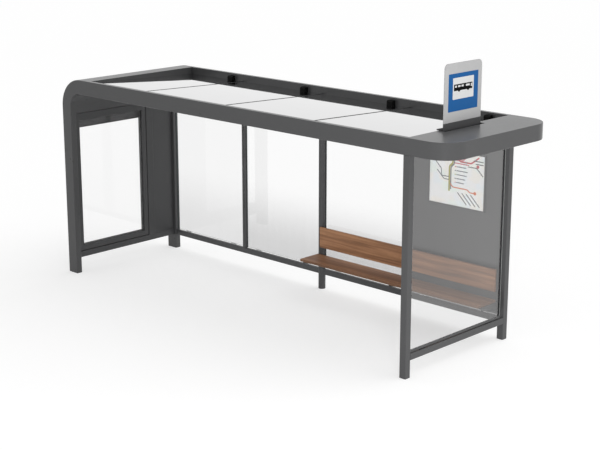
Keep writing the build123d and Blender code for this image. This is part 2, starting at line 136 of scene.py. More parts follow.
class Graph:
    """The node tree of one new material or world."""

    def __init__(self, owner: bpy.types.Material | bpy.types.World) -> None:
        """Start an empty tree in its owner."""
        self.owner = owner
        owner.use_nodes = True
        self.tree = owner.node_tree
        self.tree.nodes.clear()

    @classmethod
    def material(cls, name: str) -> "Graph":
        """The tree of a new material."""
        return cls(bpy.data.materials.new(name))

    def node(self, kind: str, settings: dict | None = None, sockets: dict | None = None) -> bpy.types.Node:
        """Add one node.

        Args:
            kind: the node's type name.
            settings: attributes set first; "stops" fills a colour ramp.
            sockets: value or Signal for each input, by name or number.

        Returns:
            The new node.
        """
        node = self.tree.nodes.new(kind)
        for name, value in (settings or {}).items():
            if name == "stops":
                self._fill_ramp(node.color_ramp, value)
            else:
                setattr(node, name, value)
        for key, value in (sockets or {}).items():
            if isinstance(value, Signal):
                self.tree.links.new(value.socket, node.inputs[key])
            else:
                node.inputs[key].default_value = value
        return node

    @staticmethod
    def _fill_ramp(ramp: bpy.types.ColorRamp, stops: Sequence[tuple[float, Colour]]) -> None:
        """Give a colour ramp its stops, each a position and a colour."""
        while len(ramp.elements) < len(stops):
            ramp.elements.new(1.0)
        for element, (position, colour) in zip(ramp.elements, stops):
            element.position = position
            element.color = (*colour, 1.0)

    def out(
        self,
        kind: str,
        settings: dict | None = None,
        sockets: dict | None = None,
        output: int | str = 0,
    ) -> Signal:
        """Add one node and hand back one of its outputs.

        Args:
            kind: the node's type name.
            settings: attributes set first.
            sockets: value or Signal for each input.
            output: name or number of the output.

        Returns:
            That output as a Signal.
        """
        return Signal(self, self.node(kind, settings, sockets).outputs[output])

    def along(self, axis: int) -> Signal:
        """One of the object coordinates, in metres."""
        return self.out("ShaderNodeSeparateXYZ", None, {0: self.place()}, axis)

    def upward(self) -> Signal:
        """How far the surface faces up: 1 on top, 0 on a wall, -1 beneath."""
        normal = self.out("ShaderNodeNewGeometry", output="Normal")
        return self.out("ShaderNodeSeparateXYZ", None, {0: normal}, "Z")

    def place(self) -> Signal:
        """Object coordinates, in metres."""
        return self.out("ShaderNodeTexCoord", output="Object")

    def seen_directly(self) -> Signal:
        """1 for rays from the eye, off mirrors and through glass, and 0 for those that carry light."""
        rays = self.node("ShaderNodeLightPath").outputs
        names = ("Is Camera Ray", "Is Glossy Ray", "Is Transmission Ray")
        eye, mirror, glass = (Signal(self, rays[name]) for name in names)
        return (eye + mirror + glass).rise(0.0, 1.0)

    def noise(self, grain: Grain) -> Signal:
        """Soft random value round one half, with the sizes of the grain."""
        where = self.place()
        if grain.stretch != EVEN:
            where = self.out("ShaderNodeMapping", None, {"Vector": where, "Scale": grain.stretch})
        sockets = {"Vector": where, "Scale": grain.scale, "Detail": grain.detail, "Roughness": grain.rough}
        return self.out("ShaderNodeTexNoise", None, sockets)

    def shaded(self, share: Signal, colour: Colour, shades: Span) -> Signal:
        """The colour, from the first of its two shades to the second as share goes from 0 to 1."""
        first, second = shades
        return self.blend(share, shade(colour, first), shade(colour, second))

    def blend(self, share: Signal | float, first: Signal | Colour, second: Signal | Colour) -> Signal:
        """Colour from first to second as share goes from 0 to 1."""
        sockets = {0: share}
        for socket, colour in ((MIX_FIRST, first), (MIX_SECOND, second)):
            sockets[socket] = colour if isinstance(colour, Signal) else (*colour, 1.0)
        return self.out("ShaderNodeMix", {"data_type": "RGBA"}, sockets, MIX_RESULT)

    def relief(self, height: Signal, distance: float) -> Signal:
        """Bumped normal from a height of 0 to 1, which stands for distance in metres."""
        return self.out("ShaderNodeBump", None, {"Height": height, "Distance": distance, "Strength": 1.0})

    def principled(self, **sockets: Signal | float | tuple) -> Signal:
        """Principled shader; a name such as base_color fills the socket Base Color."""
        named = {key.replace("_", " ").title(): value for key, value in sockets.items()}
        if "Specular" in named:
            named["Specular IOR Level"] = named.pop("Specular")
        return self.out("ShaderNodeBsdfPrincipled", None, named)

    def mixed(self, share: Signal | float, first: Signal, second: Signal) -> Signal:
        """Shader from first to second as share goes from 0 to 1."""
        return self.out("ShaderNodeMixShader", None, {0: share, 1: first, 2: second})

    def close(self, surface: Signal) -> bpy.types.Material:
        """Send the surface to the material's output and return the material."""
        self.node("ShaderNodeOutputMaterial", None, {"Surface": surface})
        return self.owner

    def coat(self, **sockets: Signal | float | tuple) -> bpy.types.Material:
        """Close the material with one principled shader."""
        return self.close(self.principled(**sockets))


def shade(colour: Colour, share: float) -> Colour:
    """The colour with each channel multiplied by share."""
    return tuple(channel * share for channel in colour)


# ---------------------------------------------------------------- finishes


class Finish(Protocol):
    """Anything that can make its own material."""

    name: str

    def material(self) -> bpy.types.Material:
        """Build the material once."""


@dataclass(frozen=True)
class PowderCoat:
    """Stoved powder coat on metal: satin, with a fine orange peel, slow drifts, and dust on top faces that
    is partly painted top light.

    Here and in the other finishes a span is the two ends of a soft step, and a shade is a share
    of the finish's own colour.
    """

    name: str
    colour: Colour
    roughness: float = 0.30
    peel: float = 0.00010
    # How strongly top faces are lightened: dust together with a painted top light.
    dust: float = 0.60
    specular: float = 0.5
    drift: Grain = Grain(1.3, 3.0)
    drift_shades: Span = (0.94, 1.06)
    drift_gloss: float = 0.08
    grime: Grain = Grain(18.0, 5.0, 0.62)
    grime_span: Span = (0.5, 0.8)
    grime_share: float = 0.15
    grime_shade: float = 1.4
    grime_gloss: float = 0.10
    dimples: Grain = Grain(240.0)
    # Where top faces are lightened and the shade they reach: dust and painted top light together.
    dust_span: Span = (0.4, 0.95)
    dust_and_top_light_shade: float = 1.9

    def material(self) -> bpy.types.Material:
        """Drift and grime move shade and gloss, dimples are the peel, and top faces are lightened by dust
        and painted top light.
        """
        graph = Graph.material(self.name)
        drift, grime = graph.noise(self.drift), graph.noise(self.grime)
        stained = grime.rise(*self.grime_span) * self.grime_share
        # Painted top light, partly dust: faces that look up are made lighter.
        dust_and_top_light = graph.upward().rise(*self.dust_span) * (NOISE_MEAN + grime) * self.dust
        colour = graph.shaded(drift, self.colour, self.drift_shades)
        colour = graph.blend(stained, colour, shade(self.colour, self.grime_shade))
        colour = graph.blend(dust_and_top_light, colour, shade(self.colour, self.dust_and_top_light_shade))
        gloss = self.roughness + (drift - NOISE_MEAN) * self.drift_gloss
        gloss = gloss + (grime - NOISE_MEAN) * self.grime_gloss
        normal = graph.relief(graph.noise(self.dimples), self.peel)
        return graph.coat(base_color=colour, roughness=gloss, normal=normal, specular=self.specular)


@dataclass(frozen=True)
class ClearSheet:
    """Toughened glass as a thin sheet: mirrors more at a slant, with a painted shade low down and dark cut
    edges.
    """

    name: str
    axis: int
    mirror: float = 2.2
    clear: float = 0.995
    # Painted shade low on the pane: its strength, the heights where it ends and is full, and the film's
    # grey.
    low_shade: float = 0.0
    low_shade_top: float = 1.22
    low_shade_full: float = 0.36
    low_shade_colour: Colour = (0.20, 0.20, 0.205)
    edge: Colour = (0.09, 0.12, 0.115)
    edge_roughness: float = 0.15
    edge_span: Span = (0.5, 0.8)
    refraction: float = 1.5
    polish: float = 0.02
    smear: Grain = Grain(3.0, 4.0, stretch=(1.0, 1.0, 0.5))
    smear_least: float = 0.94
    smear_range: float = 0.12
    streak: Grain = Grain(14.0, 4.0, 0.6, (1.0, 1.0, 0.12))
    streak_least: float = 0.9
    streak_range: float = 0.2

    def material(self) -> bpy.types.Material:
        """A face whose normal lies along the sheet's thin axis is clear, and the rest is edge.

        The mirror's share is the Fresnel share of one face times mirror, on the side that light
        The painted shade, a grey film on the lower pane, has its full share at one height and falls to
        nothing at a higher one, in streaks.
        """
        graph = Graph.material(self.name)
        geometry = graph.node("ShaderNodeNewGeometry").outputs
        normal = Signal(graph, geometry["True Normal"])
        entering = 1.0 - Signal(graph, geometry["Backfacing"])
        side = abs(graph.out("ShaderNodeSeparateXYZ", None, {0: normal}, self.axis)).rise(*self.edge_span)
        smear = self.smear_least + graph.noise(self.smear) * self.smear_range
        fresnel = graph.out("ShaderNodeFresnel", None, {"IOR": self.refraction})
        tint = (self.clear, self.clear, self.clear, 1.0)
        clear = graph.out("ShaderNodeBsdfTransparent", None, {"Color": tint})
        gloss = graph.out("ShaderNodeBsdfGlossy", None, {"Roughness": self.polish})
        face = graph.mixed(fresnel * entering * self.mirror * smear, clear, gloss)
        # Painted shade: a dark grey film darkens the pane towards its foot.
        if self.low_shade:
            streak = self.streak_least + graph.noise(self.streak) * self.streak_range
            low = 1.0 - graph.along(2).rise(self.low_shade_full, self.low_shade_top)
            shade_film = graph.out("ShaderNodeBsdfDiffuse", None, {"Color": (*self.low_shade_colour, 1.0)})
            face = graph.mixed(low * entering * self.low_shade * streak, face, shade_film)
        rim = graph.principled(base_color=(*self.edge, 1.0), roughness=self.edge_roughness)
        return graph.close(graph.mixed(side, rim, face))


@dataclass(frozen=True)
class RoofSheet:
    """Bright rolled sheet, polished: it mirrors the sky with a slight waviness.

    Its two colours hold at the front and the rear edge, which lie within depth_span: a painted shade that
    makes the mirror darker at the front than at the rear.
    """

    name: str
    front: Colour
    rear: Colour
    roughness: float = 0.025
    depth_span: Span = (-0.9, 0.9)
    wave: Grain = Grain(1.6, 1.0, stretch=(0.5, 2.0, 1.0))
    wave_height: float = 0.0005
    roll: Grain = Grain(1.0, 2.0, stretch=(0.6, 60.0, 1.0))
    roll_span: Span = (0.65, 0.35)
    roll_share: float = 0.015
    dust: Grain = Grain(5.0, 6.0, 0.6)
    dust_span: Span = (0.4, 1.0)
    dust_share: float = 0.03
    dull_span: Span = (0.5, 0.85)
    dull: float = 0.05

    def material(self) -> bpy.types.Material:
        """Long waves along the roll bend the mirror, and dust dulls it in patches."""
        graph = Graph.material(self.name)
        roll, dust = graph.noise(self.roll), graph.noise(self.dust)
        # Painted shade: darker towards the front edge, lighter towards the rear.
        colour = graph.blend(graph.along(1).rise(*self.depth_span), self.front, self.rear)
        colour = graph.blend(dust.rise(*self.dust_span) * self.dust_share, colour, SOOT)
        colour = graph.blend(roll.rise(*self.roll_span) * self.roll_share, colour, SOOT)
        gloss = self.roughness + dust.rise(*self.dull_span) * self.dull
        normal = graph.relief(graph.noise(self.wave), self.wave_height)
        return graph.coat(base_color=colour, metallic=1.0, roughness=gloss, normal=normal)


@dataclass(frozen=True)
class OiledPlank:
    """Oiled hardwood sawn along the shelter's length: streaks, pores and slow colour bands.

    Its three colours lie at the three stops of the grain. Upright faces keep the share sides of their
    colour: a painted shade, so the top looks lit and the sides look shaded.
    """

    name: str
    dark: Colour
    mid: Colour
    light: Colour
    # Share of colour kept on upright faces; below 1 it paints shade on the sides.
    sides: float = 1.0
    shaded_sides_span: Span = (0.3, 0.8)
    stops: tuple[float, float, float] = (0.36, 0.50, 0.63)
    warp: Grain = Grain(2.0, 2.0, stretch=(0.5, 3.0, 3.0))
    warp_share: float = 0.25
    streak: Grain = Grain(1.6, 6.0, 0.62, (0.9, 26.0, 26.0))
    streak_share: float = 0.62
    band: Grain = Grain(1.5, 3.0, stretch=(0.5, 11.0, 11.0))
    pore: Grain = Grain(3.0, 3.0, stretch=(6.0, 160.0, 160.0))
    pore_span: Span = (0.58, 0.72)
    pore_share: float = 0.40
    pore_shade: float = 0.7
    roughness: float = 0.52
    streak_gloss: float = 0.22
    streak_relief: float = 0.6
    relief: float = 0.0006
    specular: float = 0.4

    def material(self) -> bpy.types.Material:
        """Noise pulled out along X makes the grain; a second, finer one makes the pores."""
        graph = Graph.material(self.name)
        warp, streak = graph.noise(self.warp), graph.noise(self.streak)
        band, pore = graph.noise(self.band), graph.noise(self.pore)
        grain = streak * self.streak_share + band * (1.0 - self.streak_share)
        grain = grain + (warp - NOISE_MEAN) * self.warp_share
        stops = list(zip(self.stops, (self.dark, self.mid, self.light)))
        colour = graph.out("ShaderNodeValToRGB", {"stops": stops}, {0: grain})
        pitted = pore.rise(*self.pore_span) * self.pore_share
        colour = graph.blend(pitted, colour, shade(self.dark, self.pore_shade))
        # Painted shade: faces that don't look up are darkened towards black.
        if self.sides < 1.0:
            upright = 1.0 - graph.upward().rise(*self.shaded_sides_span)
            colour = graph.blend(upright * (1.0 - self.sides), colour, SOOT)
        gloss = self.roughness + (streak - NOISE_MEAN) * self.streak_gloss
        height = streak * self.streak_relief + pore * (1.0 - self.streak_relief)
        normal = graph.relief(height, self.relief)
        return graph.coat(base_color=colour, roughness=gloss, normal=normal, specular=self.specular)


@dataclass(frozen=True)
class Moulded:
    """Rubber or plastic in one colour, with a fine matt texture."""

    name: str
    colour: Colour
    roughness: float = 0.75
    specular: float = 0.15
    drift: Grain = Grain(9.0, 3.0)
    drift_shades: Span = (0.9, 1.1)
    drift_gloss: float = 0.12
    texture: Grain = Grain(600.0)
    texture_height: float = 0.0001

    def material(self) -> bpy.types.Material:
        """Fine noise makes the texture, and a slow one shifts shade and gloss a little."""
        graph = Graph.material(self.name)
        drift = graph.noise(self.drift)
        colour = graph.shaded(drift, self.colour, self.drift_shades)
        gloss = self.roughness + (drift - NOISE_MEAN) * self.drift_gloss
        normal = graph.relief(graph.noise(self.texture), self.texture_height)
        return graph.coat(base_color=colour, roughness=gloss, normal=normal, specular=self.specular)


@dataclass(frozen=True)
class Print(Moulded):
    """Ink or film on a smooth sheet: glossier and more even than a moulding, with a finer tooth."""

    roughness: float = 0.3
    specular: float = 0.25
    drift: Grain = Grain(14.0, 3.0)
    drift_shades: Span = (0.96, 1.04)
    drift_gloss: float = 0.1
    texture: Grain = Grain(900.0, 1.0)
    texture_height: float = 0.00003


@dataclass(frozen=True)
class BareSteel:
    """Bare metal: brushed, with no paint."""

    name: str
    colour: Colour = (0.52, 0.52, 0.51)
    roughness: float = 0.28
    brush: Grain = Grain(1.0, stretch=(40.0, 900.0, 40.0))
    brush_shades: Span = (0.9, 1.08)
    brush_gloss: float = 0.12

    def material(self) -> bpy.types.Material:
        """Noise pulled out across the piece is the brushing."""
        graph = Graph.material(self.name)
        brush = graph.noise(self.brush)
        colour = graph.shaded(brush, self.colour, self.brush_shades)
        gloss = self.roughness + brush * self.brush_gloss
        return graph.coat(base_color=colour, metallic=1.0, roughness=gloss)


@dataclass(frozen=True)
class TintedPaper:
    """Map paper: near white, with soft washes of pale green, blue and sand, and a faint glow that is painted
    light.
    """

    name: str
    white: Colour = (0.90, 0.90, 0.90)
    washes: tuple[tuple[Colour, Grain], ...] = (
        ((0.82, 0.90, 0.84), Grain(5.0, 1.0, stretch=(1.0, 1.0, 1.3))),
        ((0.82, 0.88, 0.92), Grain(5.0, 1.0, stretch=(1.4, 1.0, 1.0))),
        ((0.92, 0.88, 0.81), Grain(5.0, 1.0, stretch=(1.1, 1.0, 1.6))),
    )
    wash_span: Span = (0.5, 0.62)
    wash_share: float = 0.7
    fibre: Grain = Grain(700.0)
    fibre_height: float = 0.00003
    # Painted light: the paper glows a little in its own colour.
    glow: float = 0.17
    roughness: float = 0.45
    specular: float = 0.3

    def material(self) -> bpy.types.Material:
        """Slow noises behind a soft step lay the washes over the white, one after another."""
        graph = Graph.material(self.name)
        colour: Signal | Colour = self.white
        for wash, patch in self.washes:
            share = graph.noise(patch).rise(*self.wash_span) * self.wash_share
            colour = graph.blend(share, colour, wash)
        normal = graph.relief(graph.noise(self.fibre), self.fibre_height)
        # The emission is painted light that brightens the paper.
        return graph.coat(
            base_color=colour,
            roughness=self.roughness,
            normal=normal,
            specular=self.specular,
            emission_color=colour,
            emission_strength=self.glow,
        )


class Wardrobe:
    """Makes each finish's material once and hands it out."""

    def __init__(self) -> None:
        """Start with nothing made."""
        self.made: dict[str, bpy.types.Material] = {}

    def __call__(self, finish: Finish) -> bpy.types.Material:
        """The material of that finish."""
        if finish.name not in self.made:
            self.made[finish.name] = finish.material()
        return self.made[finish.name]


wardrobe = Wardrobe()

PAINT = PowderCoat("anthracite_powder_coat", (0.061, 0.0615, 0.063), specular=0.38)
CASE_PAINT = PowderCoat("anthracite_case_paint", (0.052, 0.0525, 0.054), roughness=0.36, specular=0.35)
PANEL = PowderCoat("anthracite_panel_laminate", (0.066, 0.066, 0.067), peel=0.00001)
BLACK = PowderCoat("black_clamp_paint", (0.003, 0.003, 0.003), roughness=0.7, dust=0.0, specular=0.1)
SIGN_GREY = PowderCoat(
    "light_grey_sign_paint", (0.44, 0.44, 0.442), roughness=0.36, peel=0.00006, dust=0.0, specular=0.3
)
# The roof's front colour is darker than its rear colour: painted shade.
ROOF = RoofSheet("polished_roof_sheet", front=(0.645, 0.645, 0.648), rear=(0.72, 0.72, 0.723))
BACK_WOOD = OiledPlank(
    "oiled_hardwood_back", dark=(0.165, 0.078, 0.038), mid=(0.290, 0.139, 0.067), light=(0.420, 0.214, 0.108)
)
# A lighter copy of the back's wood for the seat: painted light on its top, with painted shade on its upright
# faces.
LIT_SEAT_WOOD = OiledPlank(
    "oiled_hardwood_seat_lit",
    dark=(0.225, 0.104, 0.052),
    mid=(0.345, 0.168, 0.085),
    light=(0.480, 0.250, 0.134),
    sides=0.5,
)
RUBBER = Moulded("black_rubber", (0.020, 0.020, 0.021))
GASKET = Moulded("dark_grey_gasket", (0.042, 0.042, 0.043))
CUSHION = Moulded("pale_setting_block", (0.86, 0.86, 0.86))
STEEL = BareSteel("brushed_stainless")
SHEET = TintedPaper("map_paper")
BLUE = Print("blue_sign_film", (0.003, 0.090, 0.285), specular=0.15)
WHITE = Print("white_sign_film", (0.66, 0.66, 0.66), specular=0.15)
BLACK_FILM = Print("black_sign_film", (0.002, 0.002, 0.0022), specular=0.03)
CASE_GLASS = ClearSheet("clear_case_glass", 0, mirror=0.6, clear=0.99)
# Its cut edges are pale: a painted highlight along the pane's edges.
END_GLASS = ClearSheet("grey_end_glass", 0, mirror=2.8, clear=0.943, edge=(0.50, 0.53, 0.52))
REAR_GLASS = (
    # Each rear pane's painted shade low down has its own strength.
    ClearSheet("clear_rear_glass_left", 1, mirror=0.6, clear=0.965, low_shade=0.17),
    ClearSheet("clear_rear_glass_middle", 1, low_shade=0.34),
    ClearSheet("clear_rear_glass_right", 1, low_shade=0.40),
)


# ---------------------------------------------------------------- shapes


@dataclass
class Surface:
    """Vertices and faces gathered as arrays before they become one mesh."""

    points: list[np.ndarray] = field(default_factory=list)
    faces: list[list[int]] = field(default_factory=list)
    count: int = 0

    def grid(self, points: np.ndarray, wrap_rows: bool = False, wrap_columns: bool = False) -> int:
        """Add a grid of quads.

        The corners of quad (i, j) are grid points (i, j), (i, j + 1), (i + 1, j + 1) and
        (i + 1, j), counted round when a direction wraps.

        Args:
            points: rows by columns by 3.
            wrap_rows: join the last row to the first.
            wrap_columns: join the last column to the first.

        Returns:
            The number of the grid's first vertex.
        """
        rows, columns = points.shape[:2]
        number = np.arange(rows * columns).reshape(rows, columns) + self.count
        if wrap_rows:
            number = np.vstack([number, number[:1]])
        if wrap_columns:
            number = np.hstack([number, number[:, :1]])
        quads = np.stack([number[:-1, :-1], number[:-1, 1:], number[1:, 1:], number[1:, :-1]], axis=-1)
        self.faces += quads.reshape(-1, 4).tolist()
        return self._take(points.reshape(-1, 3))

    def _take(self, points: np.ndarray) -> int:
        """Add vertices and return the first one's number."""
        first = self.count
        self.points.append(points)
        self.count += len(points)
        return first

    def cap(self, start: int, count: int) -> None:
        """Close a ring of count vertices from number start with one face."""
        self.faces.append(list(range(start, start + count)))

    def tube(self, rings: np.ndarray, closed: bool = False) -> None:
        """Skin a row of rings, and cap both ends unless the row closes on itself."""
        rows, columns = rings.shape[:2]
        first = self.grid(rings, wrap_rows=closed, wrap_columns=True)
        if not closed:
            self.cap(first, columns)
            self.cap(first + (rows - 1) * columns, columns)

    def piece(self, name: str, finish: Finish, slot: str, smooth: bool = False) -> bpy.types.Object:
        """Make the mesh, turn its faces outwards, and hang it on the frame.

        Args:
            name: the piece's name.
            finish: the finish that it gets.
            slot: not used.
            smooth: shade across its edges below SHARP_DEGREES.

        Returns:
            The new object.
        """
        mesh = bpy.data.meshes.new(name)
        mesh.from_pydata(np.vstack(self.points).tolist(), [], self.faces)
        shell = bmesh.new()
        shell.from_mesh(mesh)
        bmesh.ops.remove_doubles(shell, verts=shell.verts, dist=MERGE_DISTANCE)
        bmesh.ops.recalc_face_normals(shell, faces=shell.faces)
        shell.to_mesh(mesh)
        shell.free()
        if smooth:
            mesh.shade_smooth()
            mesh.set_sharp_from_angle(angle=math.radians(SHARP_DEGREES))
        mesh.materials.append(wardrobe(finish))
        piece = bpy.data.objects.new(name, mesh)
        bpy.context.scene.collection.objects.link(piece)
        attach(piece, "root")
        log.info("%s: %d faces", name, len(mesh.polygons))
        return piece


def arc(centre: Point2, radius: float, start: float, end: float, steps: int) -> np.ndarray:
    """Points on an arc: centre plus radius times cosine and sine of an even row of degrees."""
    angle = np.radians(np.linspace(start, end, steps))
    return np.column_stack([np.cos(angle), np.sin(angle)]) * radius + np.array(centre)


def rounded_rectangle(size: Point2, radius: float, centre: Point2, steps: int = 6) -> np.ndarray:
    """Outline of a width and height about its centre: a quarter arc at each corner."""
    x, y = np.array(size) / 2 - radius
    corners = [((x, y), 0), ((-x, y), 90), ((-x, -y), 180), ((x, -y), 270)]
    arcs = [arc(corner, radius, turn, turn + 90, steps) for corner, turn in corners]
    return np.vstack(arcs) + np.array(centre)


def circle(centre: Point2, radius: float, steps: int = 24) -> np.ndarray:
    """Outline of a circle, without its first point repeated."""
    return arc(centre, radius, 0, 360, steps + 1)[:-1]


def rounded_path(corners: Sequence[Point2], radius: float, steps: int = 5) -> np.ndarray:
    """A line through corners that turns each inner one on a quadratic curve.

    The curve leaves the corner's first run and joins its second at radius from the corner:
    it is (1 - t)^2 times the first point, 2 t (1 - t) times the corner, t^2 times the second.

    Args:
        corners: the line's corners.
        radius: distance from a corner at which its curve starts.
        steps: points on each curve.

    Returns:
        The points, as rows.
    """
    line = np.array(corners, float)
    t = np.linspace(0, 1, steps)[:, None]
    parts = [line[:1]]
    for before, corner, after in zip(line[:-2], line[1:-1], line[2:]):
        back = (before - corner) / np.linalg.norm(before - corner)
        ahead = (after - corner) / np.linalg.norm(after - corner)
        first, last = corner + back * radius, corner + ahead * radius
        parts.append((1 - t) ** 2 * first + 2 * t * (1 - t) * corner + t**2 * last)
    parts.append(line[-1:])
    return np.vstack(parts)


def flat_sides(path: np.ndarray, closed: bool) -> np.ndarray:
    """Sideways vector at each point of a flat path, long enough to keep a strip's width.

    Each is the sum of the unit normals of its two runs, divided by 1 plus their cosine.

    Args:
        path: points, as rows of two.
        closed: whether the last point runs on to the first.

    Returns:
        One vector for each point.
    """
    if closed:
        runs = np.roll(path, -1, axis=0) - path
    else:
        runs = np.diff(path, axis=0)
        runs = np.vstack([runs, runs[-1:]])
    runs /= np.linalg.norm(runs, axis=1, keepdims=True)
    normals = np.column_stack([-runs[:, 1], runs[:, 0]])
    before = np.roll(normals, 1, axis=0)
    if not closed:
        before[0] = normals[0]
    cosine = np.sum(normals * before, axis=1, keepdims=True)
    return (normals + before) / (1 + cosine)


def carried(profile: np.ndarray, path: np.ndarray, place: Placer, closed: bool = False) -> np.ndarray:
    """A profile carried along a flat path.

    Point (i, j) is path point i, moved sideways by the profile's first number and lifted by
    its second.

    Args:
        profile: closed outline as rows of sideways and lift.
        path: the path on the sheet, as rows of two.
        place: turns flat points and lifts into points in space.
        closed: whether the path closes on itself.

    Returns:
        Rings, rows by columns by 3.
    """
    sides = flat_sides(path, closed)
    flat = path[:, None, :] + sides[:, None, :] * profile[None, :, :1]
    lift = np.broadcast_to(profile[None, :, 1], flat.shape[:2])
    return place(flat, lift)


def plate(surface: Surface, outline: np.ndarray, lifts: Span, place: Placer) -> None:
    """A flat sheet with a given outline, from the first lift to the second."""
    rings = [place(outline, np.full(len(outline), lift)) for lift in lifts]
    surface.tube(np.array(rings))


def strip(width: float, top: float) -> np.ndarray:
    """Rectangular profile, as high as top."""
    half = width / 2
    return np.array([(-half, 0.0), (half, 0.0), (half, top), (-half, top)])


def bead(width: float, crown: float, steps: int = 7) -> np.ndarray:
    """Half-oval profile: flat below, crowned in the middle."""
    angle = np.linspace(0, math.pi, steps)
    return np.column_stack([np.cos(angle) * width / 2, np.sin(angle) * crown])


def facing(axis: int, across: int, level: float, outward: int) -> Placer:
    """Places flat points on a plane square to an axis.

    Args:
        axis: the axis that the plane is square to.
        across: the axis that the flat points' first number follows.
        level: where the plane lies on its axis.
        outward: 1 or -1, the way that lift goes along the axis.

    Returns:
        A function of flat points and lifts that gives points in space.
    """
    up = 3 - axis - across

    def place(flat: np.ndarray, lift: np.ndarray) -> np.ndarray:
        """Flat points and lifts as points in space."""
        space = np.empty((*flat.shape[:-1], 3))
        space[..., axis] = level + outward * lift
        space[..., across] = flat[..., 0]
        space[..., up] = flat[..., 1]
        return space

    return place


def hexagon_head(surface: Surface, seat: Point3, outward: int, radius: float) -> None:
    """A bolt's head with an upright axis: rings of six whose radius and lift follow a profile.

    Args:
        surface: gathers the head.
        seat: the middle of its seat.
        outward: 1 or -1, the way that it points along Z.
        radius: its radius at the corners.
    """
    profile = np.array([(1.0, 0.0), (1.0, 0.5), (0.9, 0.6)]) * radius
    hexagon = circle((0.0, 0.0), 1.0, 6)
    rings = np.empty((len(profile), len(hexagon), 3))
    rings[..., :2] = profile[:, None, :1] * hexagon[None]
    rings[..., 2] = outward * profile[:, 1:]
    surface.tube(rings + np.array(seat))


# ---------------------------------------------------------------- sub-assemblies


@dataclass
class NodeFinishes:
    """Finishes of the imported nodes, by the words in their names: the first word found holds."""

    rules: tuple[tuple[str, Finish], ...] = (
        ("case_leaf_glass", CASE_GLASS),
        ("case_back_glass", CASE_GLASS),
        ("end_glass", END_GLASS),
        ("rear_glass_1", REAR_GLASS[0]),
        ("rear_glass_2", REAR_GLASS[1]),
        ("rear_glass_3", REAR_GLASS[2]),
        ("roof_panel", ROOF),
        ("roof_clamps", BLACK),
        ("rear_setting_blocks", CUSHION),
        ("end_setting_blocks", RUBBER),
        ("sign_blade", SIGN_GREY),
        ("map_board", SHEET),
        ("bench_seat", LIT_SEAT_WOOD),
        ("bench_back", BACK_WOOD),
        ("rear_panel", PANEL),
        ("case_", CASE_PAINT),
        ("wall_", CASE_PAINT),
    )

    def dress(self) -> None:
        """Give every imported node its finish."""
        for name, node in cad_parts.items():
            node.data.materials.clear()
            node.data.materials.append(wardrobe(self.finish_of(name)))
        log.info("%d packed nodes dressed", len(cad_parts))

    def finish_of(self, name: str) -> Finish:
        """The finish for one node's name: frame paint where no rule fits."""
        return next((finish for word, finish in self.rules if word in name), PAINT)


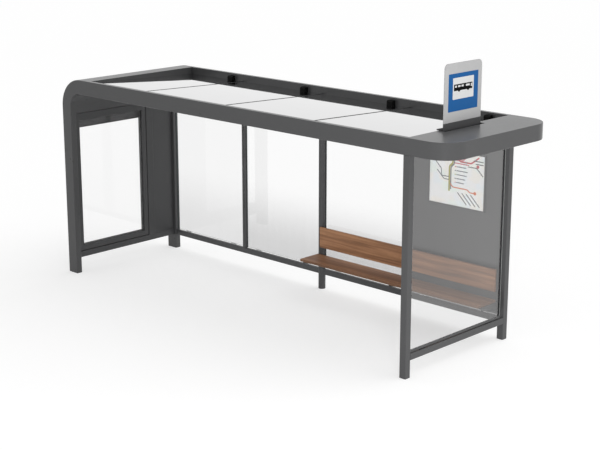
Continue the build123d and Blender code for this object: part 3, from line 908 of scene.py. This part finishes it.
@dataclass
class StopSign:
    """Both faces of the stop sign: a blue film, a white field and a bus in plain outline."""

    front_margin: float = 0.060
    rear_margin: float = 0.061
    blue_height: float = 0.382
    corner: float = 0.006
    field_size: Point2 = (0.340, 0.217)
    field_top: float = 0.045
    field_shift: float = -0.002
    body_size: Point2 = (0.302, 0.066)
    bus_shift: Point2 = (-0.003, 0.010)
    window_shares: tuple[float, ...] = (0.105, 0.285, 0.465, 0.745)
    window_widths: tuple[float, ...] = (0.029, 0.040, 0.036, 0.062)
    window_height: float = 0.019
    window_drop: float = 0.013
    screen_size: Point2 = (0.019, 0.031)
    screen_inset: float = 0.0165
    wheels: Point2 = (-0.22, 0.27)
    wheel_radius: float = 0.019
    wheel_raise: float = 0.006
    rounding: float = 0.006
    blue_lifts: Span = (0.0, 0.0008)
    field_lifts: Span = (0.0008, 0.0012)
    body_lifts: Span = (0.00112, 0.00152)
    pane_lifts: Span = (0.00152, 0.00184)

    def build(self) -> None:
        """Films and bus on the two faces, each layer from its lower lift to its upper."""
        blue, white, black = Surface(), Surface(), Surface()
        low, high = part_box("sign_blade")
        middle_y, middle_z = (low.y + high.y) / 2, (low.z + high.z) / 2
        blue_width = high.y - low.y - self.front_margin - self.rear_margin
        blue_y = (self.front_margin - self.rear_margin) / 2
        field_y = blue_y + self.field_shift
        field_z = self.blue_height / 2 - self.field_top - self.field_size[1] / 2
        for level, outward in ((high.x, 1), (low.x, -1)):
            place = self.on_face(level, outward, middle_y, middle_z)
            outline = rounded_rectangle((blue_width, self.blue_height), self.corner, (blue_y, 0.0))
            plate(blue, outline, self.blue_lifts, place)
            outline = rounded_rectangle(self.field_size, self.corner, (field_y, field_z))
            plate(white, outline, self.field_lifts, place)
            self.bus(black, white, (field_y + self.bus_shift[0], field_z + self.bus_shift[1]), place)
        blue.piece("sign_blue_film", BLUE, "sign_body")
        white.piece("sign_white_film", WHITE, "sign_body")
        black.piece("sign_bus_figure", BLACK_FILM, "sign_body")

    @staticmethod
    def on_face(level: float, outward: int, middle_y: float, middle_z: float) -> Placer:
        """Places points measured from the blade's middle, as its reader sees them."""
        face = facing(0, 1, level, outward)

        def place(flat: np.ndarray, lift: np.ndarray) -> np.ndarray:
            """Flat points and lifts as points in space."""
            return face(flat * (outward, 1) + (middle_y, middle_z), lift)

        return place

    def bus(self, black: Surface, white: Surface, centre: Point2, place: Placer) -> None:
        """A bus from its side: body, windows, a taller windscreen and two wheels.

        Args:
            black: gathers the dark shapes.
            white: gathers the light ones.
            centre: the body's middle, from the blade's middle.
            place: puts flat points on the face.
        """
        length, height = self.body_size
        plate(black, rounded_rectangle(self.body_size, self.rounding, centre), self.body_lifts, place)
        top = centre[1] + height / 2 - self.window_drop
        panes = [
            (centre[0] + length * (share - 0.5), (width, self.window_height))
            for share, width in zip(self.window_shares, self.window_widths)
        ]
        panes.append((centre[0] + length / 2 - self.screen_inset, self.screen_size))
        for pane_y, size in panes:
            pane = rounded_rectangle(size, self.rounding / 2, (pane_y, top - size[1] / 2), 3)
            plate(white, pane, self.pane_lifts, place)
        for share in self.wheels:
            axle = (centre[0] + length * share, centre[1] - height / 2 + self.wheel_raise)
            plate(black, circle(axle, self.wheel_radius), self.pane_lifts, place)


class Ink(Enum):
    """Inks of the route diagram."""

    OLIVE = Print("ink_olive", (0.42, 0.38, 0.035))
    SLATE = Print("ink_slate", (0.045, 0.060, 0.085))
    GREY = Print("ink_grey", (0.18, 0.18, 0.19))
    CRIMSON = Print("ink_crimson", (0.62, 0.060, 0.075))
    ROSE = Print("ink_rose", (0.74, 0.30, 0.32))
    ORANGE = Print("ink_orange", (0.76, 0.17, 0.035))
    BLACK = Print("ink_black", (0.020, 0.020, 0.022))


@dataclass(frozen=True)
class Route:
    """One line of the diagram: its ink, width, corners and how many stops lie on it."""

    ink: Ink
    width: float
    corners: tuple[Point2, ...]
    stops: int = 0


@dataclass
class RouteMap:
    """A route diagram of no real town: lines that turn at about 45 degrees, stops and key bars."""

    margin: float = 0.006
    lift: float = 0.0004
    layer: float = 0.00006
    bend: float = 0.016
    fine: float = 0.0095
    stop_radius: float = 0.0085
    stop_lift: float = 0.0014
    first_stop: float = 0.6
    heart_radius: float = 0.004675
    heart_lift: float = 0.00182
    disc_sides: int = 16
    terminus_radius: float = 0.0187
    terminus_lift: float = 0.0012
    orange_end: Point2 = (0.84, 0.29)
    crimson_end: Point2 = (0.88, 0.80)
    key_inks: tuple[Ink, ...] = (Ink.CRIMSON, Ink.SLATE, Ink.OLIVE, Ink.SLATE, Ink.ROSE)
    key_shares: tuple[float, ...] = (0.86, 1.0, 0.94, 0.80, 0.70)
    key_corner: Point2 = (0.47, 0.735)
    key_pitch: float = 0.075
    key_rounding: float = 0.001
    swatch_size: Point2 = (0.016, 0.012)
    bar_length: float = 0.15

    def routes(self) -> list[Route]:
        """The lines, with corners as shares of the sheet's width and height."""
        rose = ((0.02, 0.93), (0.34, 0.93), (0.40, 0.86), (0.60, 0.86), (0.70, 0.98))
        crimson = ((0.02, 0.965), (0.46, 0.965), (0.56, 0.84), (0.76, 0.84), (0.90, 0.97))
        orange = ((0.375, 0.40), (0.43, 0.335), (0.70, 0.335), (0.74, 0.29), self.orange_end)
        lines = [
            Route(Ink.ROSE, 0.020, rose),
            Route(Ink.CRIMSON, 0.017, crimson, 5),
            Route(Ink.CRIMSON, 0.011, ((0.45, 0.80), (0.72, 0.80))),
            Route(Ink.OLIVE, 0.021, ((0.36, 0.25), (0.36, 0.72), (0.42, 0.79), (0.42, 0.90))),
            Route(Ink.GREY, 0.016, ((0.388, 0.29), (0.388, 0.71), (0.448, 0.78), (0.448, 0.90))),
            Route(Ink.SLATE, self.fine, ((0.10, 0.78), (0.21, 0.65), (0.21, 0.52), (0.35, 0.52)), 2),
            Route(Ink.SLATE, self.fine, ((0.13, 0.62), (0.26, 0.465), (0.35, 0.465))),
            Route(Ink.BLACK, self.fine, ((0.70, 0.77), (0.86, 0.77), (0.98, 0.63)), 3),
            Route(Ink.BLACK, self.fine, ((0.80, 0.90), (0.98, 0.90))),
            Route(Ink.BLACK, self.fine, ((0.84, 0.845), (0.98, 0.845))),
            Route(Ink.ORANGE, 0.012, orange),
        ]
        rays = [
            Route(Ink.BLACK, self.fine, ((start, 0.25), (start + 0.17, 0.045)))
            for start in (0.52, 0.60, 0.68, 0.76)
        ]
        return lines + rays

    def build(self) -> None:
        """Lines by ink, then stops and key bars."""
        low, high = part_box("map_board")
        span = np.array((high.x - low.x, high.z - low.z)) - 2 * self.margin
        start = np.array((low.x, low.z)) + self.margin
        place = facing(1, 0, low.y, -1)
        sheets = {ink: Surface() for ink in Ink}
        rings, hearts = Surface(), Surface()
        for layer, route in enumerate(self.routes()):
            path = rounded_path(start + np.array(route.corners) * span, self.bend)
            profile = strip(route.width, self.lift + self.layer * layer)
            sheets[route.ink].tube(carried(profile, path, place))
            self.stops(rings, hearts, path, route.stops, place)
        self.key(sheets, start, span, place)
        for ink, end in ((Ink.ORANGE, self.orange_end), (Ink.CRIMSON, self.crimson_end)):
            disc = circle(start + span * end, self.terminus_radius)
            plate(sheets[ink], disc, (0.0, self.terminus_lift), place)
        for ink, surface in sheets.items():
            surface.piece(f"map_lines_{ink.name.lower()}", ink.value, "map_face")
        rings.piece("map_stops", BLACK_FILM, "map_face")
        hearts.piece("map_stop_centres", WHITE, "map_face")

    def stops(self, rings: Surface, hearts: Surface, path: np.ndarray, count: int, place: Placer) -> None:
        """Even stops along a line: its length is summed run by run and read back at even shares.

        Args:
            rings: gathers the dark discs.
            hearts: gathers the light centres.
            path: the line's points.
            count: how many stops.
            place: puts flat points on the sheet.
        """
        runs = np.linalg.norm(np.diff(path, axis=0), axis=1)
        along = np.concatenate([[0.0], np.cumsum(runs)])
        for share in (np.arange(count) + self.first_stop) / max(count, 1):
            centre = [float(np.interp(share * along[-1], along, path[:, axis])) for axis in (0, 1)]
            ring = circle(centre, self.stop_radius, self.disc_sides)
            heart = circle(centre, self.heart_radius, self.disc_sides)
            plate(rings, ring, (0.0, self.stop_lift), place)
            plate(hearts, heart, (self.stop_lift, self.heart_lift), place)

    def key(self, sheets: dict[Ink, Surface], start: np.ndarray, span: np.ndarray, place: Placer) -> None:
        """The key: rows of plain bars, each behind a swatch.

        Args:
            sheets: gathers of each ink.
            start: the sheet's lower left corner.
            span: the sheet's width and height.
            place: puts flat points on the sheet.
        """
        left, top = self.key_corner
        for row, (ink, share) in enumerate(zip(self.key_inks, self.key_shares)):
            corner = start + span * (left, top - self.key_pitch * row)
            swatch = rounded_rectangle(self.swatch_size, self.key_rounding, corner, 2)
            plate(sheets[ink], swatch, (0.0, self.lift), place)
            length = self.bar_length * share
            middle = (corner[0] + self.swatch_size[0] + length / 2, corner[1])
            bar = rounded_rectangle((length, self.fine), self.key_rounding, middle, 2)
            plate(sheets[Ink.SLATE], bar, (0.0, self.lift), place)


@dataclass
class GlazingSeals:
    """Rubber beads where glass meets its frame, and the strips that edge the end pane."""

    case_rebate: float = 0.012
    case_bead: float = 0.006
    case_corner: float = 0.004
    pane_gap: float = 0.004
    pane_bead: float = 0.010
    crown: float = 0.003
    foot_height: float = 0.025
    rear_width: float = 0.030
    rear_inset: float = 0.008
    strip_thick: float = 0.0015

    def build(self) -> None:
        """Beads round the case panes and beside the rear panes, strips on the end pane."""
        case, rear = Surface(), Surface()
        for pane in ("case_leaf_glass", "case_back_glass"):
            self.round_pane(case, pane)
        for pane in ("rear_glass_1", "rear_glass_2", "rear_glass_3", "rear_panel"):
            self.beside_pane(rear, pane)
        case.piece("case_glass_seals", GASKET, "rubber", smooth=True)
        rear.piece("rear_pane_gaskets", GASKET, "rubber", smooth=True)
        self.edge_end_pane()

    def round_pane(self, seals: Surface, pane: str) -> None:
        """A closed bead on both faces of a case pane, just inside its rebate."""
        low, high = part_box(pane)
        inset = 2 * self.case_rebate + self.case_bead
        size = (high.y - low.y - inset, high.z - low.z - inset)
        middle = ((low.y + high.y) / 2, (low.z + high.z) / 2)
        loop = rounded_rectangle(size, self.case_corner, middle, 4)
        profile = bead(self.case_bead, self.crown)
        for level, way in ((high.x, 1), (low.x, -1)):
            seals.tube(carried(profile, loop, facing(0, 1, level, way), True), True)

    def beside_pane(self, seals: Surface, pane: str) -> None:
        """An upright bead on both faces, over the gap at each side of a rear pane."""
        low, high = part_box(pane)
        profile = bead(self.pane_bead, self.crown)
        for x in (low.x - self.pane_gap / 2, high.x + self.pane_gap / 2):
            path = np.array([(x, low.z), (x, high.z)])
            for level, way in ((high.y, 1), (low.y, -1)):
                seals.tube(carried(profile, path, facing(1, 0, level, way)))

    def edge_end_pane(self) -> None:
        """Both faces of the end pane get a painted strip at the foot and a rubber one at the rear."""
        foot, upright = Surface(), Surface()
        low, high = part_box("end_glass")
        length, height = high.y - low.y, high.z - low.z
        band_middle = ((low.y + high.y) / 2, low.z + self.foot_height / 2)
        band = rounded_rectangle((length, self.foot_height), self.strip_thick, band_middle, 3)
        edge_y = high.y - self.rear_inset - self.rear_width / 2
        edge_middle = (edge_y, low.z + (height + self.foot_height) / 2)
        edge_size = (self.rear_width, height - self.foot_height)
        edge = rounded_rectangle(edge_size, self.strip_thick, edge_middle, 3)
        for level, way in ((high.x, 1), (low.x, -1)):
            place = facing(0, 1, level, way)
            plate(foot, band, (0.0, self.strip_thick), place)
            plate(upright, edge, (0.0, self.strip_thick), place)
        foot.piece("end_pane_foot_strip", PAINT, "dark_paint")
        upright.piece("end_pane_rear_strip", RUBBER, "rubber")


@dataclass
class RoofSeams:
    """Rubber strips that fill the seams between the roof panels and lap over their edges."""

    sink: float = 0.001
    lap: float = 0.0026
    lip: float = 0.0006
    crown: float = 0.0012
    tolerance: float = 0.0001

    def build(self) -> None:
        """One strip in each seam between neighbouring roof panels."""
        strips = Surface()
        names = sorted(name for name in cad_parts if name.startswith("roof_panel"))
        boxes = [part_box(name) for name in names]
        for (_, end), (start, high) in zip(boxes, boxes[1:]):
            self.seam(strips, end.x, start.x, (start.y, high.y))
        strips.piece("roof_seam_strips", RUBBER, "rubber")

    def heights(self, y: float) -> Point2:
        """Bottom and top of the roof sheet along one of its long edges."""
        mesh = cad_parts["roof_panel_2"].data
        points = np.empty(len(mesh.vertices) * 3)
        mesh.vertices.foreach_get("co", points)
        points = points.reshape(-1, 3)
        edge = points[np.abs(points[:, 1] - y) < self.tolerance, 2]
        return edge.min(), edge.max()

    def seam(self, strips: Surface, left: float, right: float, ends: Point2) -> None:
        """A T-shaped strip with a crowned top, from the roof's front edge to its rear edge."""
        rings = []
        for y in ends:
            bottom, top = self.heights(y)
            foot, lip, crown = bottom + self.sink, top + self.lip, top + self.crown
            web = [(left, y, foot), (right, y, foot), (right, y, top)]
            right_lap = [(right + self.lap, y, top), (right + self.lap, y, lip)]
            left_lap = [(left - self.lap, y, lip), (left - self.lap, y, top), (left, y, top)]
            rings.append(web + right_lap + [((left + right) / 2, y, crown)] + left_lap)
        strips.tube(np.array(rings))


@dataclass
class BenchFixings:
    """Hexagon heads under the bench, two pairs to each bracket."""

    radius: float = 0.0065
    flange_thick: float = 0.006
    spread: float = 0.016
    rows: tuple[float, ...] = (0.045, 0.225)

    def build(self) -> None:
        """Heads on the underside of each bracket's flange."""
        heads = Surface()
        seat_low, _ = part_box("bench_seat")
        for bracket in (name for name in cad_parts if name.startswith("bench_bracket")):
            low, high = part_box(bracket)
            middle = (low.x + high.x) / 2
            for row in self.rows:
                for x in (middle - self.spread, middle + self.spread):
                    seat = (x, low.y + row, seat_low.z - self.flange_thick)
                    hexagon_head(heads, seat, -1, self.radius)
        heads.piece("bench_bolts", STEEL, "dark_paint")


# ---------------------------------------------------------------- studio


@dataclass
class Studio:
    """Pale floor, even white surroundings, two soft lamps and the camera."""

    eye: Point3 = (11.1173, -11.3508, 5.193)
    gaze: Point3 = (-0.6693, 0.6976, -0.2554)
    lens: float = 84.67
    sensor: float = 36.0
    view_range: float = 500.0
    floor_half: float = 60.0
    floor_colour: float = 0.74
    floor_matt: float = 0.66
    floor_glow: float = 1.71
    sky: float = 0.55
    sun: float = 1.15
    sun_spread: float = 70.0
    sun_from: Point3 = (0.45, 0.55, 0.95)
    box_power: float = 255.0
    box_size: float = 2.4
    box_spread: float = 120.0
    box_eye: Point3 = (8.6, -7.0, 1.6)
    box_aim: Point3 = (2.9, -0.4, 1.3)

    def build(self) -> None:
        """Camera, lights and floor."""
        scene = bpy.context.scene
        scene.view_settings.view_transform = "Standard"
        self.camera(scene)
        self.world(scene)
        self.lamps(scene)
        self.floor(scene)

    def camera(self, scene: bpy.types.Scene) -> None:
        """A camera at the eye, looking along the gaze with its top upwards."""
        lens = bpy.data.cameras.new("camera")
        lens.lens = self.lens
        lens.sensor_width = self.sensor
        lens.clip_end = self.view_range
        camera = bpy.data.objects.new("camera", lens)
        camera.location = self.eye
        camera.rotation_euler = Vector(self.gaze).to_track_quat("-Z", "Y").to_euler()
        scene.collection.objects.link(camera)
        scene.camera = camera

    def world(self, scene: bpy.types.Scene) -> None:
        """White for eye, mirrors and glass, and a plain grey level of light for everything else."""
        graph = Graph(bpy.data.worlds.new("studio"))
        plain = graph.out("ShaderNodeBackground", None, {"Color": FULL_LIGHT, "Strength": self.sky})
        white = graph.out("ShaderNodeBackground", None, {"Color": FULL_LIGHT, "Strength": 1.0})
        surroundings = graph.mixed(graph.seen_directly(), plain, white)
        graph.node("ShaderNodeOutputWorld", None, {"Surface": surroundings})
        scene.world = graph.owner

    def lamps(self, scene: bpy.types.Scene) -> None:
        """A broad soft sun from above on the right, and a soft box in front of the right end."""
        sun = bpy.data.lights.new("soft_sun", "SUN")
        sun.energy = self.sun
        sun.angle = math.radians(self.sun_spread)
        box = bpy.data.lights.new("soft_box", "AREA")
        box.energy = self.box_power
        box.size = self.box_size
        box.spread = math.radians(self.box_spread)
        back = Vector(self.box_eye) - Vector(self.box_aim)
        for light, spot, away in ((sun, self.sun_from, self.sun_from), (box, self.box_eye, back)):
            lamp = bpy.data.objects.new(light.name, light)
            lamp.location = spot
            lamp.rotation_euler = Vector(away).to_track_quat("Z", "Y").to_euler()
            lamp.visible_glossy = False
            scene.collection.objects.link(lamp)

    def floor(self, scene: bpy.types.Scene) -> None:
        """A pale floor, lifted to white for eye and mirrors, that keeps the soft shadow."""
        half = self.floor_half
        corners = [(-half, -half, 0), (half, -half, 0), (half, half, 0), (-half, half, 0)]
        mesh = bpy.data.meshes.new("floor")
        mesh.from_pydata(corners, [], [(0, 1, 2, 3)])
        graph = Graph.material("studio_floor")
        tone = (self.floor_colour, self.floor_colour, self.floor_colour, 1.0)
        matt = graph.out("ShaderNodeBsdfDiffuse", None, {"Color": tone})
        glow = graph.out("ShaderNodeEmission", None, {"Color": FULL_LIGHT, "Strength": self.floor_glow})
        lifted = graph.mixed(1.0 - self.floor_matt, matt, glow)
        mesh.materials.append(graph.close(graph.mixed(graph.seen_directly(), matt, lifted)))
        floor = bpy.data.objects.new("floor", mesh)
        scene.collection.objects.link(floor)


def main() -> None:
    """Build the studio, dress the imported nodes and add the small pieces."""
    logging.basicConfig(level=logging.INFO, format="%(name)s: %(message)s")
    Studio().build()
    NodeFinishes().dress()
    for assembly in (StopSign(), RouteMap(), GlazingSeals(), RoofSeams(), BenchFixings()):
        log.info("building %s", type(assembly).__name__)
        assembly.build()


if __name__ == "__main__":
    main()
